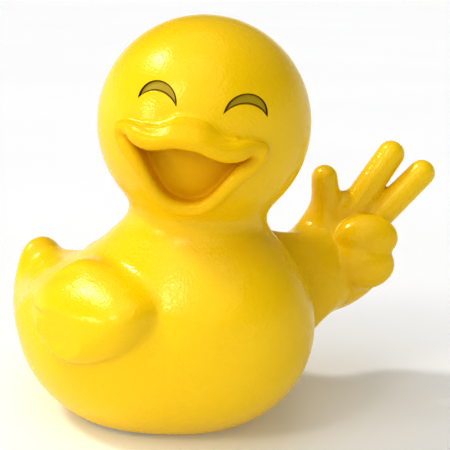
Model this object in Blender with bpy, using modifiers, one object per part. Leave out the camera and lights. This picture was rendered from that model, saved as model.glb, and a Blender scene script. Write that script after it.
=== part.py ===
"""Floating chlorine dispenser: a laughing duck float with a removable tablet cartridge in its belly.

+Z is up, and the base plane is z = 0. The axis of the cartridge is X = Y = 0. The duck's tail points to +Y,
its raised left hand is at +X, and its head is turned to look over its folded right wing.
Lengths below are in millimetres and are scaled to metres where they are used.
"""

import math

import bmesh
import bpy
from mathutils import Matrix, Vector

MM = 0.001
GAP = 0.3  # left between pieces that touch

# The float: every blob is merged with its neighbours into one moulded skin.
BODY_CENTRE = (0, 0, 61)
BODY_RADII = (88, 97, 50.2)
BASE_RADIUS = 54  # where the belly meets the base plane
CHEST_CENTRE, CHEST_RADII = (0, -54, 72.8), (57, 66, 62.5)
NECK_LOW, NECK_LOW_RADIUS = (0, -30, 101), 61
NECK_HIGH, NECK_HIGH_RADIUS = (0, -38.4, 152), 29
HEAD_CENTRE, HEAD_RADIUS = (4, -41.5, 197.5), 66.5
RUMP_CENTRE, RUMP_RADII = (0, 86, 57), (40, 41, 25.9)
TAIL_CENTRE, TAIL_RADII = (0, 118, 73.5), (21, 12, 24)  # a flattened, upturned tip
TAIL_HIGH, TAIL_HIGH_RADIUS = (0, 113, 82), 11  # the tip runs down into the rump
TAIL_LOW, TAIL_LOW_RADIUS = (0, 88, 66), 22
FLANK_CENTRE, FLANK_RADII = (-64.5, 1, 79.3), (20, 63, 38)  # the swell that carries the folded wing
FLANK_CUT = ((0, 27, 97), (0, 0.614, 0.789))  # a plane's point and normal: behind it the swell ends
WING_OUTLINE = (  # the folded right wing seen from the side: y, z
    (27, 97), (29.3, 90), (24, 75.5), (9, 65.8), (-12.3, 58.8), (-32.3, 61), (-46.5, 67), (-57, 75.5),
    (-62.9, 85.6), (-63, 101), (-57, 112), (-45, 121), (-2, 121), (3, 115), (12, 108.5),
)
WING_THICKNESS, WING_EDGE = 9.8, 9  # the pillow's height over the flank, and the width of its rounded edge
WING_TOP, WING_FADE = 122, 34  # where it has thinned out at the shoulder, and over what height
WING_REAR, WING_REAR_LENGTH, WING_REAR_SHARE = -5, 35, 0.5  # behind this it thins to half
WALL = 4.0
FLOOR_TOP = 11  # inner face of the thick plate that the well is screwed to

# The raised hand, in its own frame: x across the palm, y up the fingers, z out of the palm.
HAND_CENTRE = (125.1, -67.3, 94.4)
HAND_YAW, HAND_PITCH = -48, 14
ARM_ROOT, ARM_ROOT_RADIUS = (48.5, -48.8, 77), 46.5
WRIST, WRIST_RADIUS = (-23, -15.6, -1.3), 25.9
PALM_CENTRE, PALM_RADII = (-3.4, 4.8, -9.5), (34, 36.2, 13.2)
FINGERS = (  # root, tip, root radius, tip radius: thumb, first, middle
    ((-12.9, 23.7, -3.5), (-18.7, 51.9, 6), 14, 8.7),
    ((1.5, 29.8, 0.5), (28.7, 68.2, -0.4), 10.2, 9.5),
    ((16.5, 21.3, -1.3), (50.2, 55, -0.6), 10, 9.8),
)
CURLED_FINGERS = (((10.6, 9.9, 11.4), (21.3, 16, 11.9)), ((6.7, -8.4, 11.2), (22.9, 17.4, 12)))

# The face, in the head's own frame: x to the duck's left, y up, z out of the face.
FACE_YAW, FACE_ROLL = -55, 8
BILL_FRONT = (  # one half of the bill's thick front edge: x, y, radius, height of its middle over the head
    (0, 1.3, 5, 7.5), (8, 0.8, 5.1, 7.2), (15.5, -1.3, 5.6, 6), (23, -2.4, 6.4, 4.2), (29.5, -1.4, 6.4, 3),
    (35, 0.4, 4.8, 2.2), (41.5, -1.6, 5, 1.5),
)
BILL_TOP = ((0, 11.1), (8, 9.7), (15.5, 5.3), (23, 3.3))  # its upper edge on the head: x, y
BILL_TOP_HEIGHT, BILL_TOP_RADIUS = 0.4, 3
LOWER_LIP = (
    (41.5, -1.6, 5, 1.5), (41, -5.2, 5, 1.5), (37.4, -10.2, 5.2, 1.5), (32.2, -15.6, 4.9, 1.5),
    (27.5, -21.8, 4.6, 1.5), (22.8, -28.5, 4.4, 1.5), (18, -35, 4.5, 1.5), (12.2, -40.2, 4.7, 1.5),
    (6.2, -42.9, 4.8, 1.5), (0, -43.7, 4.8, 1.5),
)
BEAK_SEAT = 1.2  # the beak's back follows the head this far off it
MOUTH = (  # one half of the opening, from the middle of its top down to the chin
    (0, 2), (12, 0), (22, -2.5), (30, -3.5), (33.6, -4.6), (28.5, -12.6), (24, -19), (19.5, -26),
    (15.5, -31.3), (10.5, -35.9), (5, -38.4), (0, -39),
)
MOUTH_FLOOR = 45.5  # over the middle of the head
MOUTH_WALL = 1.6
EYE_CENTRES = (-22, 29.5)
EYE_LEVEL, EYE_HALF_WIDTH, EYE_OUTER_RISE, EYE_INNER_RISE = 17.8, 11.6, 12, 7
EYE_DEPTH, EYE_INLAY = 2.6, 1.0

# The well in the belly, from the base plane up.
WELL_RADIUS, WELL_WALL = 42.4, 1.6
WELL_TOP, CROWN = 94.5, 2.0
FLANGE_RADIUS, FLANGE_LOW, FLANGE_HIGH = 51, 0.6, 3.0
GASKET_HIGH = 4.5
RECESS = 0.4  # clearance round the flange
TAB_INNER, TAB_HALF_ANGLE, TAB_HIGH = 40.3, 18, 3.4
SCREW_CIRCLE, SCREW_COUNT = 47.8, 6
KEY_ANGLES = (60, 180, 300)
KEY_WIDTH, RAIL_WIDTH, RAIL_INNER = 3, 2, 41.3

# The cartridge.
BASKET_RADIUS, BASKET_WALL = 39.8, 1.6
BASKET_LOW, BASKET_FLOOR, BASKET_FLOOR_TOP, BASKET_HIGH = 10.9, 13, 15.4, 93
TABLET_RADIUS, TABLET_HEIGHT, TABLET_COUNT = 37, 24.8, 3
CAP_LOW, CAP_PLATE, CAP_HIGH = 0.8, 8.2, 10.6
CAP_RIM = 3.4
LUG_RADIUS, LUG_HALF_ANGLE, LUG_LOW, LUG_HIGH = 42, 15, 3.8, 6.4
DIAL_LOW, DIAL_HIGH, DIAL_RADIUS = 4.8, 7.0, 35.9
HUB_RADIUS, HUB_HIGH = 3.6, 10.6
PIN_RADIUS, PIN_HEAD, PIN_LOW = 1.6, 4, 2.4
GRIP_LENGTH, GRIP_WIDTH = 62, 9
WINDOW_INNER, WINDOW_OUTER, WINDOW_HALF_ANGLE = 15, 33, 15
WINDOW_ANGLES = range(30, 360, 60)

# What else is inside the float.
BALLAST_INNER, BALLAST_OUTER, BALLAST_LOW, BALLAST_HIGH = 45.5, 58, 13, 27
VENT_Y, VENT_SEAT = 36, 106.2  # a flat seat sunk into the back, behind the neck
TUBE_RADIUS, TUBE_BORE = 4, 2.6
TUBE_LOW, TUBE_HIGH = 94.9, 106.8
VENT_CAP_RADIUS = 7

FINE, ROUND, SMALL = 48, 24, 12  # segments round a large, a middling and a small circle


# ---- frames

def turn_frame(yaw, pitch, roll, centre):
    """Axes of a face that looks towards yaw (0 is -Y, negative towards -X), up by pitch, rolled clockwise."""
    y, p, r = (math.radians(v) for v in (yaw, pitch, roll))
    out = Vector((math.sin(y) * math.cos(p), -math.cos(y) * math.cos(p), math.sin(p)))
    right = Vector((math.cos(y), math.sin(y), 0))
    up = out.cross(right)
    right, up = right * math.cos(r) - up * math.sin(r), up * math.cos(r) + right * math.sin(r)
    turned_axes = Matrix((right, up, out)).transposed().to_4x4()
    return Matrix.Translation(Vector(centre) * MM) @ turned_axes


HAND = turn_frame(HAND_YAW, HAND_PITCH, 0, HAND_CENTRE)
FACE = turn_frame(FACE_YAW, 0, FACE_ROLL, HEAD_CENTRE)


# ---- scene, collections and materials

for old in list(bpy.data.objects):
    bpy.data.objects.remove(old)
parts = bpy.data.collections.new("chlorine_duck")
cutters = bpy.data.collections.new("cutters")
bpy.context.scene.collection.children.link(parts)
bpy.context.scene.collection.children.link(cutters)
cutters.hide_render = True


def material(name, colour, roughness, metallic=0.0):
    made = bpy.data.materials.new(name)
    made.use_nodes = True
    shader = made.node_tree.nodes["Principled BSDF"]
    shader.inputs["Base Color"].default_value = (*colour, 1)
    shader.inputs["Roughness"].default_value = roughness
    shader.inputs["Metallic"].default_value = metallic
    made.diffuse_color = (*colour, 1)
    return made


YELLOW = (0.93, 0.62, 0.02)
DEEP_YELLOW = (0.86, 0.47, 0.01)
WHITE = (0.85, 0.86, 0.86)
STEEL = (0.6, 0.6, 0.62)


# ---- building blocks

def new_object(name, mesh, collection, parent=None):
    obj = bpy.data.objects.new(name, mesh)
    collection.objects.link(obj)
    obj.parent = parent
    if collection is cutters:
        obj.hide_render = True
        obj.display_type = "WIRE"
    return obj


def mesh_of(bm, name):
    bmesh.ops.recalc_face_normals(bm, faces=bm.faces)
    mesh = bpy.data.meshes.new(name)
    bm.to_mesh(mesh)
    bm.free()
    return mesh


def finish(obj, look, smooth=35):
    """Gives a piece its material, and smooth shading with the sharp edges kept."""
    if obj.data.users == 1 and not obj.data.materials:
        obj.data.materials.append(look)
        obj.data.shade_smooth()
        obj.data.set_sharp_from_angle(angle=math.radians(smooth))
    return obj


def boolean(obj, other, operation="DIFFERENCE"):
    cut = obj.modifiers.new(other.name, "BOOLEAN")
    cut.operation = operation
    cut.object = other
    cut.solver = "EXACT"


def applied(obj):
    """The same object with its modifiers made part of its mesh."""
    bpy.context.view_layer.update()
    graph = bpy.context.evaluated_depsgraph_get()
    mesh = bpy.data.meshes.new_from_object(obj.evaluated_get(graph))
    obj.modifiers.clear()
    obj.data = mesh
    return obj


def turned(name, profile, steps=FINE, collection=parts, parent=None, closed=True):
    """A solid of revolution round Z. The profile runs down its outer side, in (radius, height)."""
    mesh = bpy.data.meshes.new(name)
    edges = [(i, i + 1) for i in range(len(profile) - 1)]
    if closed:
        edges.append((len(profile) - 1, 0))
    mesh.from_pydata([(r * MM, 0, z * MM) for r, z in profile], edges, [])
    obj = new_object(name, mesh, collection, parent)
    screw = obj.modifiers.new("Screw", "SCREW")
    screw.steps = screw.render_steps = steps
    screw.use_merge_vertices = True
    screw.merge_threshold = 0.00001
    return applied(obj)


def add_ball(bm, centre, radii, segments=24):
    """An ellipsoid, optionally in another frame's coordinates."""
    made = bmesh.ops.create_uvsphere(bm, u_segments=segments, v_segments=segments * 2 // 3, radius=1)
    place = Matrix.Translation(Vector(centre) * MM) @ Matrix.Diagonal((*(r * MM for r in radii), 1))
    bmesh.ops.transform(bm, matrix=place, verts=made["verts"])
    return made["verts"]


def add_hull(bm, balls, segments=16):
    """The convex hull round some balls, each a centre and a radius."""
    verts = []
    for centre, radius in balls:
        verts += add_ball(bm, centre, (radius,) * 3, segments)
    hull = bmesh.ops.convex_hull(bm, input=verts, use_existing_faces=False)
    inside = {g for g in hull["geom_interior"] if isinstance(g, bmesh.types.BMVert)}
    bmesh.ops.delete(bm, geom=list(inside), context="VERTS")
    return [v for v in verts if v.is_valid]


def add_limb(bm, start, end, start_radius, end_radius, segments=16):
    """A tapered rod with round ends."""
    return add_hull(bm, ((start, start_radius), (end, end_radius)), segments)


def add_box(bm, size, place):
    scale = Matrix.Diagonal((*(s * MM for s in size), 1))
    made = bmesh.ops.create_cube(bm, size=1, matrix=place @ scale)
    return made["verts"]


def at(angle, radius, height):
    """A place on a circle round the cartridge's axis, turned to face outwards."""
    spin = Matrix.Rotation(math.radians(angle), 4, "Z")
    return spin @ Matrix.Translation((radius * MM, 0, height * MM))


def add_sector(bm, inner, outer, middle, half, low, high, step=10):
    """A block between two radii and two angles."""
    count = max(2, round(2 * half / step))
    angles = [math.radians(middle - half + 2 * half * i / count) for i in range(count + 1)]
    outline = [(outer * math.cos(a), outer * math.sin(a)) for a in angles]
    outline += [(inner * math.cos(a), inner * math.sin(a)) for a in reversed(angles)]
    add_prism(bm, outline, low, high)


def add_prism(bm, outline, low, high):
    base = bm.faces.new([bm.verts.new((x * MM, y * MM, low * MM)) for x, y in outline])
    made = bmesh.ops.extrude_face_region(bm, geom=[base])
    tops = [g for g in made["geom"] if isinstance(g, bmesh.types.BMVert)]
    bmesh.ops.translate(bm, vec=(0, 0, (high - low) * MM), verts=tops)


def blended(obj, voxel, rounds, swell, triangles=None):
    """Merges the overlapping shapes of a mesh into one soft skin, of about this many triangles if stated."""
    remesh = obj.modifiers.new("Remesh", "REMESH")
    remesh.mode = "VOXEL"
    remesh.voxel_size = voxel * MM
    smooth = obj.modifiers.new("Smooth", "SMOOTH")
    smooth.factor = 0.5
    smooth.iterations = rounds
    grow = obj.modifiers.new("Displace", "DISPLACE")
    grow.mid_level = 0
    grow.strength = swell * MM
    applied(obj)
    if triangles is None:
        return obj
    obj.data.calc_loop_triangles()
    reduce = obj.modifiers.new("Decimate", "DECIMATE")
    reduce.ratio = triangles / len(obj.data.loop_triangles)
    reduce.use_collapse_triangulate = True
    return applied(obj)


# ---- the float

def add_body(bm, shrink):
    """The belly: an ellipsoid whose lower half is deeper, so that it meets the base plane at BASE_RADIUS."""
    radii = [r - shrink for r in BODY_RADII]
    mean = (BODY_RADII[0] + BODY_RADII[1]) / 2
    depth = BODY_CENTRE[2] / math.sqrt(1 - (BASE_RADIUS / mean) ** 2) - shrink
    verts = add_ball(bm, BODY_CENTRE, radii, 48)
    middle = BODY_CENTRE[2] * MM
    for vert in verts:
        if vert.co.z < middle:
            vert.co.z = middle + (vert.co.z - middle) * depth / radii[2]


def add_trunk(bm, shrink):
    add_body(bm, shrink)
    add_ball(bm, CHEST_CENTRE, [r - shrink for r in CHEST_RADII], 40)
    add_limb(bm, NECK_LOW, NECK_HIGH, NECK_LOW_RADIUS - shrink, NECK_HIGH_RADIUS - shrink, 40)
    add_ball(bm, RUMP_CENTRE, [r - shrink for r in RUMP_RADII], 32)
    add_limb(bm, TAIL_HIGH, TAIL_LOW, TAIL_HIGH_RADIUS - shrink, TAIL_LOW_RADIUS - shrink)
    plane, normal = (Vector(v) for v in FLANK_CUT)
    for vert in add_ball(bm, FLANK_CENTRE, [r - shrink for r in FLANK_RADII], 32):
        over = (vert.co / MM - plane).dot(normal) + shrink
        if over > 0:
            vert.co -= normal * (over * MM)
    wrist = HAND @ (Vector(WRIST) * MM) / MM
    add_limb(bm, ARM_ROOT, wrist, ARM_ROOT_RADIUS - shrink, WRIST_RADIUS - shrink, 32)


def add_hand(bm):
    verts = add_ball(bm, PALM_CENTRE, PALM_RADII)
    for centre, radii in CURLED_FINGERS:
        verts += add_ball(bm, centre, radii)
    for root, tip, first, last in FINGERS:
        verts += add_limb(bm, root, tip, first, last)
    bmesh.ops.transform(bm, matrix=HAND, verts=verts)


def depth_inside(point, outline):
    """How far a point in the plane lies inside an outline, and zero outside it."""
    nearest, inside = math.inf, False
    for start, end in zip(outline, outline[1:] + outline[:1]):
        start, end = Vector(start), Vector(end)
        along = end - start
        share = min(max((point - start).dot(along) / along.length_squared, 0), 1)
        nearest = min(nearest, (point - start - along * share).length)
        if (start.y > point.y) != (end.y > point.y):
            crossing = start.x + along.x * (point.y - start.y) / along.y
            inside ^= point.x < crossing
    return nearest if inside else 0


def raise_wing(trunk):
    """Swells the flank into a pillow inside the wing's outline."""
    for vert in trunk.data.vertices:
        x, y, z = vert.co / MM
        if x < 0:
            edge = min(depth_inside(Vector((y, z)), WING_OUTLINE) / WING_EDGE, 1)
            over = min(max((WING_TOP - z) / WING_FADE, 0), 1)
            behind = min(max((y - WING_REAR) / WING_REAR_LENGTH, 0), 1)
            height = WING_THICKNESS * over * (1 - WING_REAR_SHARE * behind)
            vert.co += vert.normal * (height * math.sqrt(1 - (1 - edge) ** 2) * MM)


def float_form():
    """The trunk is blended softly first; the head, wing, hand and tail tip then keep tighter creases."""
    bm = bmesh.new()
    add_trunk(bm, 0)
    trunk = blended(new_object("trunk", mesh_of(bm, "trunk"), cutters), 3, 36, 1.1)
    raise_wing(trunk)
    blended(trunk, 3, 8, 0.2)
    bm = bmesh.new()
    bm.from_mesh(trunk.data)
    bpy.data.objects.remove(trunk)
    add_ball(bm, HEAD_CENTRE, (HEAD_RADIUS,) * 3, 48)
    add_ball(bm, TAIL_CENTRE, TAIL_RADII)
    add_hand(bm)
    return blended(new_object("duck_shell", mesh_of(bm, "duck_shell"), parts, duck), 3, 4, 0.6, 3600)


def float_hollow():
    bm = bmesh.new()
    add_trunk(bm, WALL)
    add_ball(bm, HEAD_CENTRE, (HEAD_RADIUS - WALL,) * 3, 48)
    floor = FLOOR_TOP * MM
    for vert in bm.verts:
        vert.co.z = max(vert.co.z, floor)
    return blended(new_object("hollow", mesh_of(bm, "hollow"), cutters), 4, 3, 0, 560)


def mouth_block(name, grow, collection):
    """The mouth's opening as a block, grown outwards and below its floor."""
    outline = list(MOUTH) + [(-x, y) for x, y in MOUTH[-2:0:-1]]
    grown = []
    for before, (x, y), after in zip(outline[-1:] + outline, outline, outline[1:] + outline[:1]):
        along = Vector(after) - Vector(before)
        away = Vector((-along.y, along.x)).normalized() * grow
        grown.append((x + away.x, y + away.y))
    bm = bmesh.new()
    add_prism(bm, grown, MOUTH_FLOOR - grow, HEAD_RADIUS + 20)
    obj = new_object(name, mesh_of(bm, name), collection)
    obj.matrix_world = FACE
    return obj


def head_ball(name, grow):
    bm = bmesh.new()
    add_ball(bm, (0, 0, 0), (HEAD_RADIUS + grow,) * 3, 48)
    obj = new_object(name, mesh_of(bm, name), cutters)
    obj.matrix_world = FACE
    return obj


def crescent(name, middle, inset, collection, parent=None):
    """A closed-eye arc: two arcs over one chord, pushed right through the face."""
    half, lift = EYE_HALF_WIDTH - 2.5 * inset, 6.5 * inset
    arcs = []
    for rise in (EYE_OUTER_RISE - inset - lift, EYE_INNER_RISE + inset - lift):
        radius = (half ** 2 + rise ** 2) / (2 * rise)
        end = math.atan2(half, radius - rise)
        centre = EYE_LEVEL + lift + rise - radius
        angles = [end * (1 - 2 * i / 14) for i in range(15)]
        arcs.append([(middle - radius * math.sin(a), centre + radius * math.cos(a)) for a in angles])
    bm = bmesh.new()
    add_prism(bm, arcs[0] + arcs[1][-2:0:-1], HEAD_RADIUS * 0.5, HEAD_RADIUS + 4)
    obj = new_object(name, mesh_of(bm, name), collection, parent)
    obj.matrix_world = FACE
    return obj


def over_head(x, y, height):
    """A point in the face's frame, by its height over the head."""
    return (x, y, math.sqrt((HEAD_RADIUS + height) ** 2 - x ** 2 - y ** 2))


def beak_form():
    bm = bmesh.new()
    for side in (1, -1):
        front = [(over_head(side * x, y, height), radius) for x, y, radius, height in BILL_FRONT]
        lip = [(over_head(side * x, y, height), radius) for x, y, radius, height in LOWER_LIP]
        top = [(over_head(side * x, y, BILL_TOP_HEIGHT), BILL_TOP_RADIUS) for x, y in BILL_TOP]
        for row in (front, lip):
            for pair in zip(row, row[1:]):
                add_hull(bm, pair, 14)
        for upper, lower in zip(zip(top, top[1:]), zip(front, front[1:])):
            add_hull(bm, upper + lower, 14)
    obj = new_object("beak", mesh_of(bm, "beak"), parts)
    obj.matrix_world = FACE
    obj.parent = duck
    return blended(obj, 1.6, 3, 0.3, 1100)


def screw_holes():
    """Six clearance holes for the flange's countersunk screws."""
    hole = turned("screw_hole", ((0, 10.4), (1.7, 10.4), (1.7, 2.5), (3.1, 1.1), (3.1, -0.5), (0, -0.5)),
                  SMALL, cutters, closed=False)
    bm = bmesh.new()
    for i in range(SCREW_COUNT):
        bm.from_mesh(hole.data)
        fresh = bm.verts[-len(hole.data.vertices):]
        bmesh.ops.transform(bm, matrix=at(i * 360 / SCREW_COUNT + 30, SCREW_CIRCLE, 0), verts=fresh)
        bm.verts.ensure_lookup_table()
    bpy.data.objects.remove(hole)
    return new_object("screw_holes", mesh_of(bm, "screw_holes"), cutters)


def vent_hole():
    radius, seat = TUBE_RADIUS + 1.6, VENT_CAP_RADIUS + 0.6
    hole = turned("vent_hole", (
        (0, 125), (seat, 125), (seat, VENT_SEAT), (radius, VENT_SEAT), (radius, 90), (0, 90)),
        SMALL, cutters, closed=False)
    hole.location = (0, VENT_Y * MM, 0)
    return hole


def make_float():
    shell = float_form()
    boolean(shell, float_hollow())
    opening = WELL_RADIUS + WELL_WALL + 0.4
    ledge = GASKET_HIGH + GAP
    boolean(shell, turned("base_cut", (
        (0, FLOOR_TOP + 2), (opening, FLOOR_TOP + 2), (opening, ledge),
        (FLANGE_RADIUS + RECESS, ledge), (FLANGE_RADIUS + RECESS, 0),
        (90, 0), (90, -25), (0, -25)), collection=cutters, closed=False))
    boolean(shell, holes)
    boolean(shell, vent)
    boolean(shell, mouth_block("mouth_hole", MOUTH_WALL + GAP, cutters))
    under_eyes = head_ball("under_eyes", -EYE_DEPTH)
    for name, middle in zip(("eye_cut_right", "eye_cut_left"), EYE_CENTRES):
        recess = crescent(name, middle, 0, cutters)
        boolean(recess, under_eyes)
        boolean(shell, applied(recess))
    finish(shell, material("duck_yellow", YELLOW, 0.28), 50)


def make_face():
    beak = beak_form()
    boolean(beak, head_ball("beak_seat", BEAK_SEAT))
    finish(beak, material("beak_yellow", DEEP_YELLOW, 0.25), 50)
    lining = mouth_block("mouth_lining", MOUTH_WALL, parts)
    lining.parent = duck
    boolean(lining, mouth_block("mouth_inside", 0, cutters))
    boolean(lining, head_ball("mouth_front", 0.5), "INTERSECT")
    finish(applied(lining), material("mouth_yellow", (0.75, 0.38, 0.01), 0.35))
    top = head_ball("inlay_top", EYE_INLAY + GAP - EYE_DEPTH)
    low = head_ball("inlay_low", GAP - EYE_DEPTH)
    look = material("eye_olive", (0.42, 0.32, 0.02), 0.4)
    for name, middle in zip(("eye_right", "eye_left"), EYE_CENTRES):
        inlay = crescent(name, middle, GAP, parts, duck)
        boolean(inlay, top, "INTERSECT")
        boolean(inlay, low)
        finish(applied(inlay), look)


# ---- the well and what is screwed to it

def make_well():
    inner, outer = WELL_RADIUS, WELL_RADIUS + WELL_WALL
    hole = TUBE_RADIUS + 1.6
    liner = turned("well_liner", (
        (0, WELL_TOP + CROWN), (outer - 2, WELL_TOP + CROWN), (outer, WELL_TOP + CROWN - 2),
        (outer, FLANGE_HIGH), (FLANGE_RADIUS, FLANGE_HIGH), (FLANGE_RADIUS, FLANGE_LOW + 0.6),
        (FLANGE_RADIUS - 0.6, FLANGE_LOW), (inner, FLANGE_LOW), (inner, WELL_TOP), (0, WELL_TOP)),
        parent=duck, closed=False)
    bm = bmesh.new()
    for angle in (a - 60 for a in KEY_ANGLES):
        add_sector(bm, TAB_INNER, inner + 0.6, angle, TAB_HALF_ANGLE, FLANGE_LOW, TAB_HIGH)
    rail_offset = KEY_WIDTH / 2 + 0.5 + RAIL_WIDTH / 2
    rail_depth = inner + 0.6 - RAIL_INNER
    rail_length = WELL_TOP + 0.5 - 12
    for angle in KEY_ANGLES:
        for side in (1, -1):
            place = at(angle, RAIL_INNER + rail_depth / 2, 12 + rail_length / 2)
            shift = Matrix.Translation((0, side * rail_offset * MM, 0))
            add_box(bm, (rail_depth, RAIL_WIDTH, rail_length), place @ shift)
    boolean(liner, new_object("tabs_and_rails", mesh_of(bm, "tabs_and_rails"), cutters), "UNION")
    boolean(liner, holes)
    boolean(liner, vent)
    assert hole < inner - VENT_Y, "the vent has to open inside the well"
    finish(applied(liner), material("well_grey", (0.62, 0.65, 0.67), 0.45))

    gasket = turned("well_gasket", (
        (outer + 0.5, GASKET_HIGH), (FLANGE_RADIUS - 0.1, GASKET_HIGH),
        (FLANGE_RADIUS - 0.1, FLANGE_HIGH + GAP), (outer + 0.5, FLANGE_HIGH + GAP)), parent=duck)
    boolean(gasket, holes)
    finish(applied(gasket), material("gasket_rubber", (0.03, 0.03, 0.03), 0.7))


def make_screws():
    screw = turned("well_screw_1", (
        (0, 10), (0.8, 10), (1.35, 9.2), (1.35, 2.5), (2.65, 1.2), (2.65, 0.8), (0, 0.8)),
        SMALL, parent=duck, closed=False)
    bm = bmesh.new()
    long, thin = 1.7, 0.35
    quarter = ((long, -thin), (long, thin), (thin, thin))
    cross = []
    for turn in range(4):
        for x, y in quarter:
            for _ in range(turn):
                x, y = -y, x
            cross.append((x, y))
    add_prism(bm, cross, 0, 1.5)
    boolean(screw, new_object("screw_drive", mesh_of(bm, "screw_drive"), cutters))
    finish(applied(screw), material("screw_steel", STEEL, 0.3, 1.0))
    for i in range(SCREW_COUNT):
        obj = screw if i == 0 else new_object(f"well_screw_{i + 1}", screw.data, parts, duck)
        obj.matrix_world = at(i * 360 / SCREW_COUNT + 30, SCREW_CIRCLE, 0)


def make_ballast_and_vent():
    bevel = 1.5
    ballast = turned("ballast_ring", (
        (BALLAST_INNER, BALLAST_HIGH), (BALLAST_OUTER - bevel, BALLAST_HIGH),
        (BALLAST_OUTER, BALLAST_HIGH - bevel), (BALLAST_OUTER, BALLAST_LOW), (BALLAST_INNER, BALLAST_LOW)),
        parent=duck)
    finish(ballast, material("ballast_iron", (0.12, 0.12, 0.13), 0.6, 0.8))

    tube = turned("vent_tube", (
        (TUBE_BORE, TUBE_HIGH), (TUBE_RADIUS, TUBE_HIGH), (TUBE_RADIUS, TUBE_LOW), (TUBE_BORE, TUBE_LOW)),
        SMALL, parent=duck)
    crown = WELL_TOP + CROWN
    fit, hub = TUBE_RADIUS + GAP, TUBE_RADIUS + 1.6 - GAP
    lower = turned("vent_seal_lower", (
        (fit, crown + 2.6), (hub + 2, crown + 2.6), (hub + 2, crown + GAP), (hub, crown + GAP),
        (hub, WELL_TOP + 0.4), (fit, WELL_TOP + 0.4)), SMALL, parent=duck)
    upper = turned("vent_seal_upper", (
        (fit, VENT_SEAT), (hub, VENT_SEAT), (hub, VENT_SEAT - 6), (fit, VENT_SEAT - 6)),
        SMALL, parent=duck)
    top = TUBE_HIGH + 1.8
    cap = turned("vent_cap", (
        (0, top + 1.6), (VENT_CAP_RADIUS - 2.5, top + 1.2), (VENT_CAP_RADIUS - 0.6, top + 0.3),
        (VENT_CAP_RADIUS, top - 0.6), (VENT_CAP_RADIUS, top - 1.4), (TUBE_BORE - GAP, top - 1.4),
        (TUBE_BORE - GAP, TUBE_HIGH - 4), (0, TUBE_HIGH - 4)), SMALL, parent=duck, closed=False)
    rubber = bpy.data.materials["gasket_rubber"]
    finish(tube, material("vent_tube_clear", (0.7, 0.72, 0.7), 0.3))
    finish(lower, rubber)
    finish(upper, rubber)
    finish(cap, bpy.data.materials["duck_yellow"])
    for obj in (tube, lower, upper, cap):
        obj.location = (0, VENT_Y * MM, 0)


# ---- the cartridge

def window_blocks():
    bm = bmesh.new()
    for angle in WINDOW_ANGLES:
        add_sector(
            bm, WINDOW_INNER, WINDOW_OUTER, angle, WINDOW_HALF_ANGLE, DIAL_LOW - 1, BASKET_FLOOR_TOP + 1)
    return new_object("windows", mesh_of(bm, "windows"), cutters)


def make_basket():
    inner = BASKET_RADIUS - BASKET_WALL
    pin_fit, head_fit = PIN_RADIUS + GAP, PIN_HEAD + GAP
    basket = turned("tablet_basket", (
        (inner, BASKET_HIGH), (BASKET_RADIUS, BASKET_HIGH), (BASKET_RADIUS, BASKET_LOW),
        (inner, BASKET_LOW), (inner, BASKET_FLOOR), (8, BASKET_FLOOR), (8, BASKET_LOW), (pin_fit, BASKET_LOW),
        (pin_fit, BASKET_FLOOR + 0.6), (head_fit, BASKET_FLOOR + 0.6), (head_fit, BASKET_FLOOR_TOP),
        (inner, BASKET_FLOOR_TOP)), parent=cartridge)
    bm = bmesh.new()
    rows, height, first = 3, 19, 21
    for row in range(rows):
        for i in range(9):
            place = at(i * 40 + 20, BASKET_RADIUS - BASKET_WALL / 2, first + row * 24 + height / 2)
            add_box(bm, (5, 9, height), place)
    boolean(basket, new_object("basket_slots", mesh_of(bm, "basket_slots"), cutters))
    boolean(basket, windows)
    bm = bmesh.new()
    for angle in KEY_ANGLES:
        depth = 2.3
        add_box(bm, (depth, KEY_WIDTH, 78), at(angle, BASKET_RADIUS - 0.2 + depth / 2, 14 + 39))
    boolean(basket, new_object("keys", mesh_of(bm, "keys"), cutters), "UNION")
    finish(applied(basket), material("basket_white", WHITE, 0.4))


def make_tablets():
    edge = 2.5
    look = material("chlorine_tablet", (0.9, 0.9, 0.88), 0.85)
    for i in range(TABLET_COUNT):
        low = BASKET_FLOOR_TOP + GAP + i * (TABLET_HEIGHT + GAP)
        high = low + TABLET_HEIGHT
        tablet = turned(f"chlorine_tablet_{i + 1}", (
            (0, high), (TABLET_RADIUS - edge, high), (TABLET_RADIUS, high - edge),
            (TABLET_RADIUS, low + edge), (TABLET_RADIUS - edge, low), (0, low)),
            ROUND, parent=cartridge, closed=False)
        finish(tablet, look)


def make_pin():
    head_low = BASKET_FLOOR + 0.6 + GAP
    pin = turned("pivot_pin", (
        (0, head_low + 1.2), (PIN_HEAD, head_low + 1.2), (PIN_HEAD, head_low), (PIN_RADIUS, head_low),
        (PIN_RADIUS, PIN_LOW), (0, PIN_LOW)), SMALL, parent=cartridge, closed=False)
    finish(pin, bpy.data.materials["screw_steel"])


def make_cap():
    inner = BASKET_RADIUS - CAP_RIM
    hole = HUB_RADIUS + 0.4
    cap = turned("lock_cap", (
        (hole, CAP_HIGH), (BASKET_RADIUS, CAP_HIGH), (BASKET_RADIUS, CAP_LOW + 0.6),
        (BASKET_RADIUS - 0.6, CAP_LOW), (inner + 0.6, CAP_LOW), (inner, CAP_LOW + 0.6), (inner, CAP_PLATE),
        (hole, CAP_PLATE)), parent=cap_axis)
    boolean(cap, windows)
    bm = bmesh.new()
    for angle in KEY_ANGLES:
        add_sector(bm, BASKET_RADIUS - 0.6, LUG_RADIUS, angle, LUG_HALF_ANGLE, LUG_LOW, LUG_HIGH)
    boolean(cap, new_object("lugs", mesh_of(bm, "lugs"), cutters), "UNION")
    bm = bmesh.new()
    for i in range(12):
        add_box(bm, (8, 3, 2.4), at(i * 30, BASKET_RADIUS - CAP_RIM / 2, CAP_LOW))
    boolean(cap, new_object("finger_notches", mesh_of(bm, "finger_notches"), cutters))
    finish(applied(cap), material("cap_blue", (0.08, 0.3, 0.55), 0.35))


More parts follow.
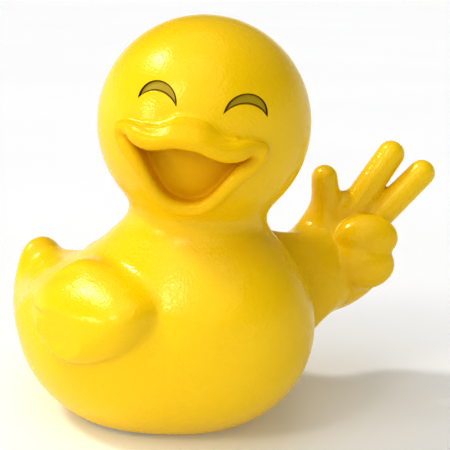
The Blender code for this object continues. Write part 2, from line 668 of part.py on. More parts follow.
def make_dial():
    dial = turned("flow_dial", (
        (0, HUB_HIGH), (HUB_RADIUS, HUB_HIGH), (HUB_RADIUS, DIAL_HIGH), (DIAL_RADIUS, DIAL_HIGH),
        (DIAL_RADIUS, DIAL_LOW), (0, DIAL_LOW)), parent=dial_axis, closed=False)
    boolean(dial, windows)
    bm = bmesh.new()
    half, width = (GRIP_LENGTH - GRIP_WIDTH) / 2, GRIP_WIDTH / 2
    outline = []
    for side in (1, -1):
        angles = [math.radians(-90 + 180 * i / 10) for i in range(11)]
        outline += [(side * (half + width * math.cos(a)), side * width * math.sin(a)) for a in angles]
    add_prism(bm, outline, 0, DIAL_LOW + 0.5)
    boolean(dial, new_object("grip_bar", mesh_of(bm, "grip_bar"), cutters), "UNION")
    fit = PIN_RADIUS + GAP
    boolean(dial, turned("pin_socket", ((0, 12), (fit, 12), (fit, PIN_LOW - GAP), (0, PIN_LOW - GAP)),
                         SMALL, cutters, closed=False))
    finish(applied(dial), material("dial_white", (0.8, 0.82, 0.83), 0.35))

    washer = turned("wave_washer", (
        (HUB_RADIUS + 0.5, DIAL_HIGH + GAP + 0.6), (7.5, DIAL_HIGH + GAP + 0.6),
        (7.5, DIAL_HIGH + GAP), (HUB_RADIUS + 0.5, DIAL_HIGH + GAP)), ROUND, parent=dial_axis)
    finish(washer, bpy.data.materials["screw_steel"])


def empty(name, parent=None):
    obj = new_object(name, None, parts, parent)
    obj.empty_display_size = 0.02
    return obj


duck = empty("duck")
cartridge = empty("cartridge", duck)
cap_axis = empty("cap_axis", cartridge)
dial_axis = empty("dial_axis", cap_axis)
holes = screw_holes()
vent = vent_hole()
windows = window_blocks()
make_float()
make_face()
make_well()
make_screws()
make_ballast_and_vent()
make_basket()
make_tablets()
make_pin()
make_cap()
make_dial()
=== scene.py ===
"""Looks of the floating chlorine dispenser: its vinyl skin, bill and mouth, materials, floor, light, camera."""
import math

import bmesh
import bpy
import numpy as np
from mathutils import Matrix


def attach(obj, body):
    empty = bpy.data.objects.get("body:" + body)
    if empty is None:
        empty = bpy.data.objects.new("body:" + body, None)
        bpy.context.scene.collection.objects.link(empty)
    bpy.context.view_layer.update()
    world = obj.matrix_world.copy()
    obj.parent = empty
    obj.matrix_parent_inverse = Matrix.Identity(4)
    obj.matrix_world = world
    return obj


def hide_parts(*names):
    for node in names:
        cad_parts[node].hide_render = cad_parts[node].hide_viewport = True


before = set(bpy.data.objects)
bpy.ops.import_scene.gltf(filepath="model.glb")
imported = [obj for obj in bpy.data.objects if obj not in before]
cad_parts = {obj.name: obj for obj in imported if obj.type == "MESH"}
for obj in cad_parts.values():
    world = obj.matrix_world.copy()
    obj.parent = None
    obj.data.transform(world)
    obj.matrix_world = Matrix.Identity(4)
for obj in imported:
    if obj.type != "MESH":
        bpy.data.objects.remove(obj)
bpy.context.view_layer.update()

import openvdb
from mathutils import Matrix, Vector

MM = 0.001


# ---- distance fields: all in millimetres, negative inside

def ellipsoid(points, centre, radii):
    q = points - np.float32(centre)
    r = np.float32(radii)
    k0 = np.sqrt(((q / r) ** 2).sum(-1))
    k1 = np.sqrt(((q / (r * r)) ** 2).sum(-1))
    return k0 * (k0 - 1) / np.maximum(k1, np.float32(1e-6))


def limb(points, start, end, start_radius, end_radius):
    """A tapered rod with round ends."""
    start, end = np.float32(start), np.float32(end)
    axis = end - start
    along = np.clip(((points - start) @ axis) / (axis @ axis), 0, 1)
    away = np.linalg.norm(points - (start + along[..., None] * axis), axis=-1)
    return away - (start_radius + (end_radius - start_radius) * along)


def merged(a, b, soft):
    h = np.clip(0.5 + 0.5 * (b - a) / soft, 0, 1)
    return b * (1 - h) + a * h - soft * h * (1 - h)


def common(a, b, soft):
    return -merged(-a, -b, soft)


def turn_frame(yaw, pitch, roll):
    """Columns right, up and out of a face that looks towards yaw (0 is -Y, negative towards -X)."""
    y, p, r = (math.radians(v) for v in (yaw, pitch, roll))
    out = np.array((math.sin(y) * math.cos(p), -math.cos(y) * math.cos(p), math.sin(p)))
    right = np.array((math.cos(y), math.sin(y), 0))
    up = np.cross(out, right)
    return np.stack((right * math.cos(r) - up * math.sin(r), up * math.cos(r) + right * math.sin(r), out), 1)


# ---- the duck's measures, as in the solid model

BODY_CENTRE, BODY_RADII, BASE_RADIUS = (0, 0, 61), (88, 97, 50.2), 54
HEAD_CENTRE, HEAD_RADIUS = np.array((4, -41.5, 197.5)), 66.5
HAND_CENTRE, HAND_AXES = np.array((125.1, -67.3, 94.4)), turn_frame(-48, 14, 0)
HAND_FROM = 44  # the hand lies beyond this x
ARM_FRONT = 25  # the arm is flattened here, in front of the hand's centre
FACE_AXES = turn_frame(-55, 0, 8)

BILL_FRONT = (  # one half of the thick front edge of the upper bill: x, y, radius, height over the head
    (0, 1.3, 5, 7.5), (8, 0.8, 5.1, 7.2), (15.5, -1.3, 5.6, 6), (23, -2.4, 6.4, 4.2), (29.5, -1.4, 6.4, 3),
    (35, 0.4, 4.8, 2.2), (39.5, -0.4, 4.8, 1.4), (41.5, -1.6, 5, 1),
)
BILL_TOP = (  # where the bill's upper edge meets the head: x, y
    (0, 13.7), (4, 13.4), (8, 12.3), (12, 10.1), (16, 7.7), (20, 6.3), (24, 5.8), (27, 5.6),
)
LIP = (  # one half of the lower lip: x, y, radius, height
    (41.5, -1.6, 5, 1), (41, -5.2, 5, 1), (37.4, -10.2, 5.2, 1), (32.2, -15.6, 4.9, 1), (27.5, -21.8, 4.5, 1),
    (22.8, -28.5, 4.2, 1), (18, -35, 4.3, 1), (12.2, -40.2, 4.6, 1), (6.2, -42.9, 4.7, 1), (0, -43.7, 4.7, 1),
)
MOUTH = (  # one half of the opening, from the middle of the top down to the chin
    (0, 2), (12, 0), (22, -2.5), (30, -3.5), (33.6, -4.6), (32.6, -7.6), (28.5, -12.6), (24, -19),
    (19.5, -26), (15.5, -31.3), (10.5, -35.9), (5, -38.4), (0, -39),
)
EYE_CENTRES, EYE_LEVEL, EYE_HALF_WIDTH = (-22, 29.5), 17.8, 11.6  # across the face, up it, and half a crescent
EYE_OUTER_RISE, EYE_INNER_RISE, EYE_DEPTH = 12, 7, 2.6
EYE_ARC_STEPS = 28


def face_height(x, y, height):
    """A point over the head, given across and up the face and by its height over the head."""
    reach = HEAD_RADIUS + height
    return (x, y, math.sqrt(reach ** 2 - x ** 2 - y ** 2))


def between(rows, x):
    xs = [row[0] for row in rows]
    return [float(np.interp(x, xs, [row[i] for row in rows])) for i in range(1, len(rows[0]))]


def smooth_rows(rows, count):
    """The rows resampled along a smooth curve through them."""
    rows = np.array(rows, float)
    along = np.concatenate(((0,), np.cumsum(np.linalg.norm(np.diff(rows[:, :2], axis=0), axis=1))))
    slope = np.gradient(rows, along, axis=0)
    result = []
    for s in np.linspace(0, along[-1], count):
        i = min(int(np.searchsorted(along, s, side="right")) - 1, len(rows) - 2)
        h = along[i + 1] - along[i]
        t = (s - along[i]) / h
        result.append(
            (2 * t ** 3 - 3 * t ** 2 + 1) * rows[i] + (t ** 3 - 2 * t ** 2 + t) * h * slope[i]
            + (3 * t ** 2 - 2 * t ** 3) * rows[i + 1] + (t ** 3 - t ** 2) * h * slope[i + 1])
    return result


def within(points, low, high):
    return np.all((points > np.float32(low)) & (points < np.float32(high)), axis=-1)


def near(points, field, low, high, function):
    """Lowers the field by a shape that only lies between two corners."""
    inside = within(points, low, high)
    field[inside] = np.minimum(field[inside], function(points[inside]))


def chain(points, rows, field, reach=7):
    for first, last in zip(rows, rows[1:]):
        for side in (1, -1):
            ends = [np.array(face_height(side * r[0], r[1], r[3])) for r in (first, last)]
            margin = max(first[2], last[2]) + reach
            near(points, field, np.minimum(*ends) - margin, np.maximum(*ends) + margin,
                 lambda p: limb(p, *ends, first[2], last[2]))


def bill_field(points):
    field = np.full(points.shape[:-1], np.float32(9))
    front, upper = smooth_rows(BILL_FRONT, 60), smooth_rows(BILL_TOP, 60)
    chain(points, front[::2], field)
    for x in np.arange(0, 27, 0.9):
        y, radius, height = between(front, x)
        top = between(upper, x)[0]
        swell = (3 + radius) / 2 + 0.7
        for side in (1, -1):
            high = np.array(face_height(side * x, top - 2.6, 0.2))
            middle = np.array(face_height(side * x, (top - 2.6 + y) / 2, height * 0.55))
            low = np.array(face_height(side * x, y, height))
            core = np.array(face_height(side * x, y + 1, height - 5))
            for start, end, r0, r1 in (
                    (high, middle, 3, swell), (middle, low, swell, radius), (middle, core, swell, radius)):
                margin = max(r0, r1) + 6
                near(points, field, np.minimum(start, end) - margin, np.maximum(start, end) + margin,
                     lambda p: limb(p, start, end, r0, r1))
    return field


def lip_field(points):
    field = np.full(points.shape[:-1], np.float32(9))
    chain(points, smooth_rows(LIP, 30), field)
    return field


def outline_distance(x, y, outline):
    """Signed distance to a closed outline in the plane, negative inside."""
    nearest = np.full(x.shape, np.float32(1e6))
    inside = np.zeros(x.shape, bool)
    for (x0, y0), (x1, y1) in zip(outline, outline[1:] + outline[:1]):
        dx, dy = x1 - x0, y1 - y0
        length = dx * dx + dy * dy
        if length == 0:
            continue
        t = np.clip(((x - x0) * dx + (y - y0) * dy) / length, 0, 1)
        nearest = np.minimum(nearest, np.hypot(x - x0 - t * dx, y - y0 - t * dy))
        if y0 != y1:
            crosses = ((y0 > y) != (y1 > y)) & (x < dx * (y - y0) / dy + x0)
            inside ^= crosses
    return np.where(inside, -nearest, nearest)


def mouth_outline():
    half = [(float(r[0]), float(r[1])) for r in smooth_rows(MOUTH, 40)]
    return half + [(-x, y) for x, y in half[-2:0:-1]]


def mouth_field(points, grow=0.0):
    """The hollow of the mouth: straight walls, and a floor that drops away under the bill."""
    x, y = points[..., 0], points[..., 1]
    wall = outline_distance(x, y, mouth_outline()) - np.float32(grow)
    height = np.linalg.norm(points, axis=-1) - np.float32(HEAD_RADIUS)
    floor = -5 - 12 * (y + 39) / 42 - 3 * (1 - (x / 34) ** 2) - np.float32(grow)
    return common(wall, floor - height, 2.5)


def float_field(points):
    mean = (BODY_RADII[0] + BODY_RADII[1]) / 2
    depth = BODY_CENTRE[2] / math.sqrt(1 - (BASE_RADIUS / mean) ** 2)
    q = points - np.float32(BODY_CENTRE)
    half_height = np.where(q[..., 2] < 0, np.float32(depth), np.float32(BODY_RADII[2]))
    radii = np.float32(BODY_RADII[:2])
    k0 = np.sqrt(((q[..., :2] / radii) ** 2).sum(-1) + (q[..., 2] / half_height) ** 2)
    k1 = np.sqrt(((q[..., :2] / radii ** 2) ** 2).sum(-1) + (q[..., 2] / half_height ** 2) ** 2)
    field = k0 * (k0 - 1) / np.maximum(k1, np.float32(1e-6))
    field = merged(field, ellipsoid(points, (0, -54, 72.8), (57, 66, 62.5)), 25)
    field = merged(field, limb(points, (0, -30, 101), (0, -38.4, 152), 61, 29), 30)
    field = merged(field, ellipsoid(points, HEAD_CENTRE, (HEAD_RADIUS,) * 3), 18)
    field = merged(field, ellipsoid(points, (0, 86, 57), (40, 41, 25.9)), 22)
    tail = merged(ellipsoid(points, (0, 117.7, 73.3), (19.5, 10, 22.8)),
                  limb(points, (0, 113, 82), (0, 88, 66), 11, 22), 10)
    field = merged(field, tail, 14)
    behind_wing = (points[..., 1] - 27) * np.float32(0.614) + (points[..., 2] - 97) * np.float32(0.789)
    flank = common(ellipsoid(points, (-64.5, 1, 79.3), (20, 63, 38)), behind_wing, 6)
    field = merged(field, flank, 8)
    wrist = HAND_CENTRE + HAND_AXES @ np.array((-23, -15.6, -5))
    before_palm = (points - np.float32(HAND_CENTRE)) @ np.float32(HAND_AXES[:, 2]) - ARM_FRONT
    arm = common(limb(points, (48.5, -48.8, 77), wrist, 46.5, 25.9), before_palm, 12)
    field = merged(field, arm, 28)
    return common(field, -points[..., 2], 6)


WING_OUTLINE = (  # the folded right wing seen from the side: y, z
    (27, 97), (29.3, 90), (28.8, 83), (24, 75.5), (17, 70.3), (9, 65.8), (-2.4, 61.3), (-12.3, 58.8),
    (-20, 58.4), (-32.3, 61), (-40, 63.7), (-46.5, 67), (-52.6, 71.3), (-57, 75.5), (-60.6, 80.5), (-62.9, 85.6),
    (-64, 91.3), (-64, 96), (-63, 101), (-61.3, 105.3), (-59.4, 108.6), (-57, 112), (-53, 116), (-47, 121),
    (-38, 134), (-8, 140), (0, 126), (3, 115), (12, 108.5), (21.5, 102.3),
)
WING_THICK = 11
WING_CROWN, WING_SINK = 2.7, 2  # added at the thickest part, and where it has faded out
WING_ROUND, WING_SPREAD = 20, 2.5  # how softly the edge rolls over, and how much the outline grows
WING_TOP, WING_FADE = 122, 34  # it fades out up to the top, over this height
WING_REAR, WING_REAR_LENGTH, WING_REAR_SHARE = -5, 35, 0.5  # behind this it thins to half
GROOVES = (  # two feather lines at the wing's tip, seen from the side: y, z
    ((17, 72.6), (10.4, 71.1), (4.5, 70.4), (-1.2, 70.2), (-6.4, 70.6), (-13.2, 72.7), (-18.4, 75)),
    ((22.6, 87.9), (16.9, 86.5), (11.7, 86.1), (5.8, 86.2), (0.2, 86.6)),
)
GROOVE_RADIUS, GROOVE_TAPER, GROOVE_DEPTH = 1.9, 0.7, 1.6


def smoothstep(t):
    t = np.clip(t, 0, 1)
    return t * t * (3 - 2 * t)


def wing_field(field, away, points):
    """A pillow laid on the flank, given how far each point is off it. Thick along its lower and front edge,
    it fades into the shoulder."""
    y, z = points[..., 1], points[..., 2]
    edge = outline_distance(y, z, [(float(row[0]), float(row[1])) for row in smooth_rows(WING_OUTLINE, 90)])
    rear = WING_REAR_SHARE * smoothstep((y - WING_REAR) / WING_REAR_LENGTH)
    strength = smoothstep((WING_TOP - z) / WING_FADE) * (1 - rear)
    height = (WING_THICK + WING_CROWN) * strength - WING_SINK
    wing = common(away - height, edge - WING_SPREAD, WING_ROUND)
    field = merged(field, wing, 2)
    flat = points * np.float32((0, 1, 1))
    for groove in GROOVES:
        cut = np.full(field.shape, np.float32(9))
        for i, (start, end) in enumerate(zip(groove, groove[1:])):
            sizes = [GROOVE_RADIUS * (1 - GROOVE_TAPER * k / len(groove)) for k in (i, i + 1)]
            cut = np.minimum(cut, limb(flat, (0, *start), (0, *end), *sizes))
        field = common(field, -np.maximum(cut, -field - GROOVE_DEPTH), 2)
    return field


def hand_field(field, points):
    q = (points - np.float32(HAND_CENTRE)) @ np.float32(HAND_AXES)
    field = merged(field, ellipsoid(q, (-3.4, 4.8, -6.5), (34, 36.2, 15.5)), 24)
    field = merged(field, limb(q, (-15.6, 24, -3.5), (-18.2, 51.5, 6), 11, 9), 9)
    field = merged(field, limb(q, (1.5, 29.8, 0.5), (28.7, 68.2, -0.4), 10.2, 9.5), 6)
    field = merged(field, limb(q, (16.5, 21.3, -1.3), (50.2, 55, -0.6), 10, 9.3), 3)
    field = merged(field, ellipsoid(q, (10.6, 9.9, 11.4), (21.3, 16, 11.9)), 3)
    field = merged(field, ellipsoid(q, (6.7, -8.4, 11.2), (22.9, 17.4, 12)), 2.5)
    return field


def grid_points(low, high, voxel):
    counts = [int(math.ceil((b - a) / voxel)) + 1 for a, b in zip(low, high)]
    axes = [np.float32(a) + np.arange(n, dtype=np.float32) * np.float32(voxel) for a, n in zip(low, counts)]
    return np.stack(np.meshgrid(*axes, indexing="ij"), -1)


def skin_of(field, voxel):
    """Points, triangles and quads, in voxels, where the field is zero. The grid's edge counts as outside."""
    field = np.ascontiguousarray(np.clip(field, -4 * voxel, 4 * voxel), np.float32)
    for axis in range(3):
        for end in (0, -1):
            index = [slice(None)] * 3
            index[axis] = end
            field[tuple(index)] = 4 * voxel
    grid = openvdb.FloatGrid(4 * voxel)
    grid.copyFromArray(field, tolerance=0.0)
    return grid.convertToPolygons(isovalue=0.0, adaptivity=0.0)


def true_distance(field, voxel, reach):
    """The real distance to the field's skin, up to a reach."""
    points, triangles, quads = skin_of(field, voxel)
    grid = openvdb.FloatGrid.createLevelSetFromPolygons(points, triangles, quads, halfWidth=reach / voxel)
    away = np.zeros(field.shape, np.float32)
    grid.copyToArray(away)
    return away * np.float32(voxel)


def meshed(name, field, low, voxel):
    """A closed mesh where the field is zero, in metres."""
    points, triangles, quads = skin_of(field, voxel)
    verts = (points * voxel + np.float32(low)) * MM
    faces = [tuple(int(i) for i in f) for f in quads] + [tuple(int(i) for i in f) for f in triangles]
    mesh = bpy.data.meshes.new(name)
    mesh.from_pydata(verts.tolist(), [], faces)
    mesh.update()
    bm = bmesh.new()
    bm.from_mesh(mesh)
    if bm.calc_volume(signed=True) < 0:
        bmesh.ops.reverse_faces(bm, faces=bm.faces)
        bm.to_mesh(mesh)
    bm.free()
    mesh.shade_smooth()
    obj = bpy.data.objects.new(name, mesh)
    bpy.context.scene.collection.objects.link(obj)
    return obj


def placed(obj, axes, centre):
    """Bakes a local frame, in millimetres, into an object's mesh."""
    matrix = Matrix(np.array(axes).tolist()).to_4x4()
    obj.data.transform(Matrix.Translation(Vector(centre) * MM) @ matrix)
    return obj


# ---- pieces

SKIN_VOXEL, FACE_VOXEL = ((1.45, 0.8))
WELL_RADIUS, WELL_TOP = 44.4, 97
FLANGE_RADIUS, FLANGE_TOP = 51.4, 4.8


def make_skin():
    low = (-96, -128, -6)
    points = grid_points(low, (184, 136, 270), SKIN_VOXEL)
    field = float_field(points)
    x_from = int((HAND_FROM - low[0]) / SKIN_VOXEL)
    field[x_from:] = hand_field(field[x_from:], points[x_from:])
    away = true_distance(field, SKIN_VOXEL, WING_THICK + 5)
    near_wing = within(points, (-99, -80, 40), (-25, 45, 145))
    field[near_wing] = wing_field(field[near_wing], away[near_wing], points[near_wing])
    local = (points - np.float32(HEAD_CENTRE)) @ np.float32(FACE_AXES)
    inside = within(local, (-56, -58, 8), (56, 24, 90))
    spots = local[inside]
    beak = np.minimum(bill_field(spots), lip_field(spots)) + 0.8
    values = merged(field[inside], beak, 4)
    field[inside] = common(values, -mouth_field(spots, 1.0), 0.5)
    radial = np.hypot(points[..., 0], points[..., 1])
    for radius, top in ((WELL_RADIUS, WELL_TOP), (FLANGE_RADIUS, FLANGE_TOP)):
        field = np.maximum(field, -np.maximum(radial - radius, points[..., 2] - top))
    return meshed("vinyl_skin", field, low, SKIN_VOXEL)


def make_beak():
    low = (-52, -54, 18)
    points = grid_points(low, (52, 20, 84), FACE_VOXEL)
    lip = common(lip_field(points), -mouth_field(points), 1.0)
    field = merged(bill_field(points), lip, 1.5)
    height = np.linalg.norm(points, axis=-1) - np.float32(HEAD_RADIUS)
    field = np.maximum(field, -1.2 - height)
    return placed(meshed("bill_and_lip", field, low, FACE_VOXEL), FACE_AXES, HEAD_CENTRE)


def make_mouth():
    low = (-44, -48, 18)
    voxel = FACE_VOXEL * 1.2
    points = grid_points(low, (44, 12, 84), voxel)
    height = np.linalg.norm(points, axis=-1) - np.float32(HEAD_RADIUS)
    hollow = mouth_field(points, 0.25)
    field = np.maximum(np.maximum(hollow - 1.8, -hollow), height + 0.4)
    return placed(meshed("mouth_bowl", field, low, voxel), FACE_AXES, HEAD_CENTRE)


def crescent_outline(middle, grow):
    arcs = []
    half = EYE_HALF_WIDTH + grow
    for rise in (EYE_OUTER_RISE + grow, EYE_INNER_RISE - grow):
        radius = (half ** 2 + rise ** 2) / (2 * rise)
        end = math.atan2(half, radius - rise)
        centre = EYE_LEVEL + rise - radius
        angles = [end * (1 - 2 * i / EYE_ARC_STEPS) for i in range(EYE_ARC_STEPS + 1)]
        arcs.append([(middle - radius * math.sin(a), centre + radius * math.cos(a)) for a in angles])
    return arcs[0] + arcs[1][-2:0:-1]


def cut_eyes(skin, shadow_edge_look):
    """Sinks the two closed-eye crescents into the face, with a chamfered edge painted dark as a shadow line."""
    bm = bmesh.new()
    levels = ((-EYE_DEPTH, 0), (-1, 0), (-0.2, 0.35), (0.1, 0.65), (1.2, 1.9))  # height, and how far it grows
    for middle in EYE_CENTRES:
        rings = []
        for height, grow in levels:
            outline = crescent_outline(middle, grow)
            rings.append([bm.verts.new(face_height(x, y, height)) for x, y in outline])
        for lower, upper in zip(rings, rings[1:]):
            for i in range(len(lower)):
                j = (i + 1) % len(lower)
                bm.faces.new((lower[i], lower[j], upper[j], upper[i]))
        count = len(rings[0])
        for ring in (rings[0], rings[-1]):
            for i in range(count // 2):
                quad = (ring[i], ring[i + 1], ring[(count - i - 1) % count], ring[(count - i) % count])
                bm.faces.new(list(dict.fromkeys(quad)))
    bmesh.ops.recalc_face_normals(bm, faces=bm.faces)
    mesh = bpy.data.meshes.new("eye_cutter")
    bm.to_mesh(mesh)
    bm.free()
    mesh.materials.append(shadow_edge_look)
    cutter = bpy.data.objects.new("eye_cutter", mesh)
    mesh.transform(Matrix.Scale(MM, 4))
    placed(cutter, FACE_AXES, HEAD_CENTRE)
    bpy.context.scene.collection.objects.link(cutter)
    cut = skin.modifiers.new("eyes", "BOOLEAN")
    cut.operation, cut.solver, cut.object, cut.material_mode = "DIFFERENCE", "EXACT", cutter, "TRANSFER"
    bpy.context.view_layer.update()
    graph = bpy.context.evaluated_depsgraph_get()
    mesh = bpy.data.meshes.new_from_object(skin.evaluated_get(graph))
    skin.modifiers.clear()
    skin.data = mesh
    bpy.data.objects.remove(cutter)
    mesh.shade_smooth()
    mesh.set_sharp_from_angle(angle=math.radians(40))


# ---- materials

class Nodes:
    """A short way to write a node material."""

    def __init__(self, name):
        self.material = bpy.data.materials.new(name)
        self.material.use_nodes = True
        self.tree = self.material.node_tree
        self.shader = self.tree.nodes["Principled BSDF"]
        self.place = self.add("ShaderNodeTexCoord").outputs["Object"]

    def add(self, kind, inputs=None, **settings):
        node = self.tree.nodes.new(kind)
        for key, value in settings.items():
            setattr(node, key, value)
        for key, value in (inputs or {}).items():
            if isinstance(value, bpy.types.NodeSocket):
                self.tree.links.new(value, node.inputs[key])
            else:
                node.inputs[key].default_value = value
        return node

    def noise(self, scale, detail=2.0, roughness=0.5):
        node = self.add("ShaderNodeTexNoise", {
            "Vector": self.place, "Scale": scale, "Detail": detail, "Roughness": roughness})
        return node.outputs["Fac"]

    def cells(self, scale, smooth=0.6):
        node = self.add("ShaderNodeTexVoronoi", {
            "Vector": self.place, "Scale": scale, "Smoothness": smooth}, feature="SMOOTH_F1")
        return node.outputs["Distance"]

    def spread(self, value, low, high, to_low, to_high):
        node = self.add("ShaderNodeMapRange", {
            "Value": value, "From Min": low, "From Max": high, "To Min": to_low, "To Max": to_high})
        return node.outputs["Result"]

    def mix(self, factor, first, second):
        node = self.add("ShaderNodeMix", data_type="RGBA")
        for index, value in ((0, factor), (6, first), (7, second)):
            if isinstance(value, bpy.types.NodeSocket):
                self.tree.links.new(value, node.inputs[index])
            else:
                node.inputs[index].default_value = value if index == 0 else (*value, 1)
        return node.outputs[2]

    def bump(self, height, distance, strength=1.0, before=None):
        inputs = {"Height": height, "Distance": distance, "Strength": strength}
        if before is not None:
            inputs["Normal"] = before
        return self.add("ShaderNodeBump", inputs).outputs["Normal"]

    def set(self, name, value):
        if isinstance(value, bpy.types.NodeSocket):
            self.tree.links.new(value, self.shader.inputs[name])
        elif isinstance(value, tuple) and len(value) == 3:
            self.shader.inputs[name].default_value = (*value, 1)
        else:
            self.shader.inputs[name].default_value = value


def vinyl(name, colour, deep, roughness=0.24, pebble=0.00011, gloss=0.5):
    """Soft glossy vinyl: a fine pebbled skin, faint cloudy colour, and a gloss that comes and goes."""
    n = Nodes(name)
    cloud = n.noise(14, 3)
    n.set("Base Color", n.mix(n.spread(cloud, 0.3, 0.7, 0, 1), colour, deep))
    n.set("Roughness", n.spread(n.noise(40, 4), 0.3, 0.7, roughness - 0.05, roughness + 0.06))
    fine = n.bump(n.cells(620), pebble)
    n.set("Normal", n.bump(n.noise(160, 2), pebble * 2, before=fine))
    n.set("IOR", 1.45)
    n.set("Specular IOR Level", gloss)
    return n.material


def moulded(name, colour, roughness=0.4, grain=900, depth=0.00001):
    """Hard moulded plastic with a fine matt grain and faint flow marks."""
    n = Nodes(name)
    shade = tuple(c * 0.9 for c in colour)
    n.set("Base Color", n.mix(n.spread(n.noise(30, 4), 0.35, 0.65, 0, 1), colour, shade))
    n.set("Roughness", n.spread(n.noise(120, 3), 0.3, 0.7, roughness - 0.06, roughness + 0.08))
    n.set("Normal", n.bump(n.noise(grain, 2), depth))
    return n.material


def steel(name):
    n = Nodes(name)
    cloud = n.spread(n.noise(200, 3), 0.3, 0.7, 0, 1)
    n.set("Base Color", n.mix(cloud, (0.6, 0.6, 0.61), (0.48, 0.48, 0.5)))
    n.set("Metallic", 1.0)
    n.set("Roughness", n.spread(n.noise(500, 2), 0.3, 0.7, 0.22, 0.36))
    return n.material


def pressed(name):
    """Pressed chlorine powder: chalky, speckled and slightly pitted."""
    n = Nodes(name)
    speck = n.spread(n.noise(900, 2), 0.55, 0.7, 0, 1)
    n.set("Base Color", n.mix(speck, (0.86, 0.86, 0.83), (0.72, 0.73, 0.7)))
    n.set("Roughness", 0.9)
    n.set("Normal", n.bump(n.noise(1200, 3), 0.00012))
    return n.material


def rubber(name, colour=(0.02, 0.02, 0.022)):
    n = Nodes(name)
    lighter = tuple(c * 1.6 for c in colour)
    n.set("Base Color", n.mix(n.spread(n.noise(60, 3), 0.3, 0.7, 0, 1), colour, lighter))
    n.set("Roughness", n.spread(n.noise(300, 2), 0.3, 0.7, 0.6, 0.75))
    n.set("Normal", n.bump(n.noise(800, 2), 0.00002))
    return n.material


def give(node, look):
    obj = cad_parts[node]
    obj.data.materials.clear()
    obj.data.materials.append(look)


skin_look = vinyl("duck_vinyl", (0.9, 0.63, 0.001), (0.88, 0.6, 0.001))
beak_look = vinyl("beak_vinyl", (0.87, 0.58, 0.001), (0.85, 0.55, 0.001), gloss=0.3)
mouth_look = vinyl("mouth_vinyl", (0.85, 0.54, 0.001), (0.8, 0.5, 0.001), roughness=0.5, gloss=0.15)
# The eye fill is the skin's yellow darkened: painted shade on the floors of the recessed eyes.
eye_fill_shade_look = moulded("eye_fill_painted_shade", (0.5, 0.37, 0.002), 0.55)

skin = make_skin()
skin.data.materials.append(skin_look)
# The eye cutter's walls get a dark brown vinyl: a painted shadow line along the edge of each eye recess.
cut_eyes(skin, vinyl("eye_edge_painted_shadow", (0.36, 0.22, 0.002), (0.3, 0.18, 0.002)))
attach(skin, "duck")
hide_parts("duck_shell")

beak = make_beak()
beak.data.materials.append(beak_look)
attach(beak, "duck")
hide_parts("beak")

mouth = make_mouth()
mouth.data.materials.append(mouth_look)
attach(mouth, "duck")
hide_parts("mouth_lining")

for side in ("left", "right"):
    give(f"eye_{side}", eye_fill_shade_look)
give("well_liner", moulded("liner_grey", (0.6, 0.63, 0.65), 0.45))
for node in ("well_gasket", "vent_seal_lower", "vent_seal_upper"):
    give(node, rubber(f"{node}_rubber"))
screw_look = steel("stainless")
for i in range(6):
    give(f"well_screw_{i + 1}", screw_look)
give("pivot_pin", screw_look)
give("wave_washer", screw_look)
give("ballast_ring", rubber("ballast_coating", (0.06, 0.06, 0.065)))
give("vent_tube", moulded("tube_vinyl", (0.66, 0.69, 0.66), 0.3))
give("vent_cap", skin_look)
give("tablet_basket", moulded("basket_plastic", (0.82, 0.83, 0.83), 0.42))
tablet_look = pressed("pressed_chlorine")
for i in range(3):
    give(f"chlorine_tablet_{i + 1}", tablet_look)
give("lock_cap", moulded("cap_plastic", (0.05, 0.22, 0.5), 0.32))
give("flow_dial", moulded("dial_plastic", (0.8, 0.82, 0.83), 0.34))


# ---- floor, light and camera

def make_floor():
    mesh = bpy.data.meshes.new("studio_floor")
    bm = bmesh.new()
    bmesh.ops.create_grid(bm, x_segments=8, y_segments=8, size=9)
    bm.to_mesh(mesh)
    bm.free()
    floor = bpy.data.objects.new("studio_floor", mesh)
    bpy.context.scene.collection.objects.link(floor)
    n = Nodes("pale_floor")
    cloud = n.spread(n.noise(3, 3), 0.3, 0.7, 0, 1)
    n.set("Base Color", n.mix(cloud, (0.78, 0.78, 0.78), (0.76, 0.76, 0.76)))
    n.set("Roughness", 0.7)
    n.set("Emission Color", (1.0, 1.0, 1.0))
    n.set("Emission Strength", 0.16)
    mesh.materials.append(n.material)


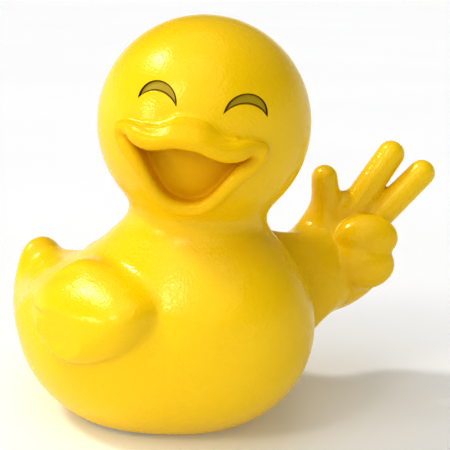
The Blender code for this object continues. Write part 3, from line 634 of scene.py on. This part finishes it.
def add_light(azimuth, elevation, strength, spread):
    """A soft box far off, so that the floor is evenly lit. Azimuth 0 is -Y and grows towards +X."""
    a, e = math.radians(azimuth), math.radians(elevation)
    away = Vector((math.sin(a) * math.cos(e), -math.cos(a) * math.cos(e), math.sin(e)))
    light = bpy.data.lights.new(f"softbox_{azimuth}_{elevation}", "SUN")
    light.energy, light.angle = strength, math.radians(spread)
    obj = bpy.data.objects.new(light.name, light)
    obj.rotation_euler = away.to_track_quat("Z", "Y").to_euler()
    bpy.context.scene.collection.objects.link(obj)


def make_world():
    """A pale backdrop at the horizon that darkens overhead."""
    world = bpy.data.worlds.new("studio")
    world.use_nodes = True
    nodes, links = world.node_tree.nodes, world.node_tree.links
    place = nodes.new("ShaderNodeTexCoord")
    split = nodes.new("ShaderNodeSeparateXYZ")
    fade = nodes.new("ShaderNodeMapRange")
    for name, value in (("From Min", 0.1), ("From Max", 0.35), ("To Min", 1.0), ("To Max", 0.15)):
        fade.inputs[name].default_value = value
    links.new(place.outputs["Generated"], split.inputs[0])
    links.new(split.outputs["Z"], fade.inputs["Value"])
    links.new(fade.outputs["Result"], nodes["Background"].inputs["Strength"])
    nodes["Background"].inputs["Color"].default_value = (1, 1, 1, 1)
    bpy.context.scene.world = world


CAMERA_TARGET = Vector((24.36, -40.5, 127.78)) * MM
CAMERA_AZIMUTH, CAMERA_ELEVATION, CAMERA_DISTANCE, CAMERA_LENS = -48, 14, 0.811, 100


def make_camera():
    a, e = math.radians(CAMERA_AZIMUTH), math.radians(CAMERA_ELEVATION)
    back = Vector((math.sin(a) * math.cos(e), -math.cos(a) * math.cos(e), math.sin(e)))
    camera = bpy.data.objects.new("camera", bpy.data.cameras.new("camera"))
    camera.data.lens, camera.data.sensor_width = CAMERA_LENS, 36
    camera.location = CAMERA_TARGET + back * CAMERA_DISTANCE
    camera.rotation_euler = back.to_track_quat("Z", "Y").to_euler()
    bpy.context.scene.collection.objects.link(camera)
    bpy.context.scene.camera = camera


LIGHTS = (  # azimuth, elevation, strength, spread
    (-148, 53, 1.15, 10), (-111, 17, 0.4, 10), (-85, 40, 0.35, 10), (-153, 20, 0.3, 60), (-68, 47, 1.15, 70),
    (-138, 78, 0.6, 60), (102, 47, 0.1, 60),
)
make_floor()
for light in LIGHTS:
    add_light(*light)
make_world()
make_camera()
bpy.context.scene.view_settings.view_transform = "Standard"
bpy.context.scene.view_settings.gamma = 0.75
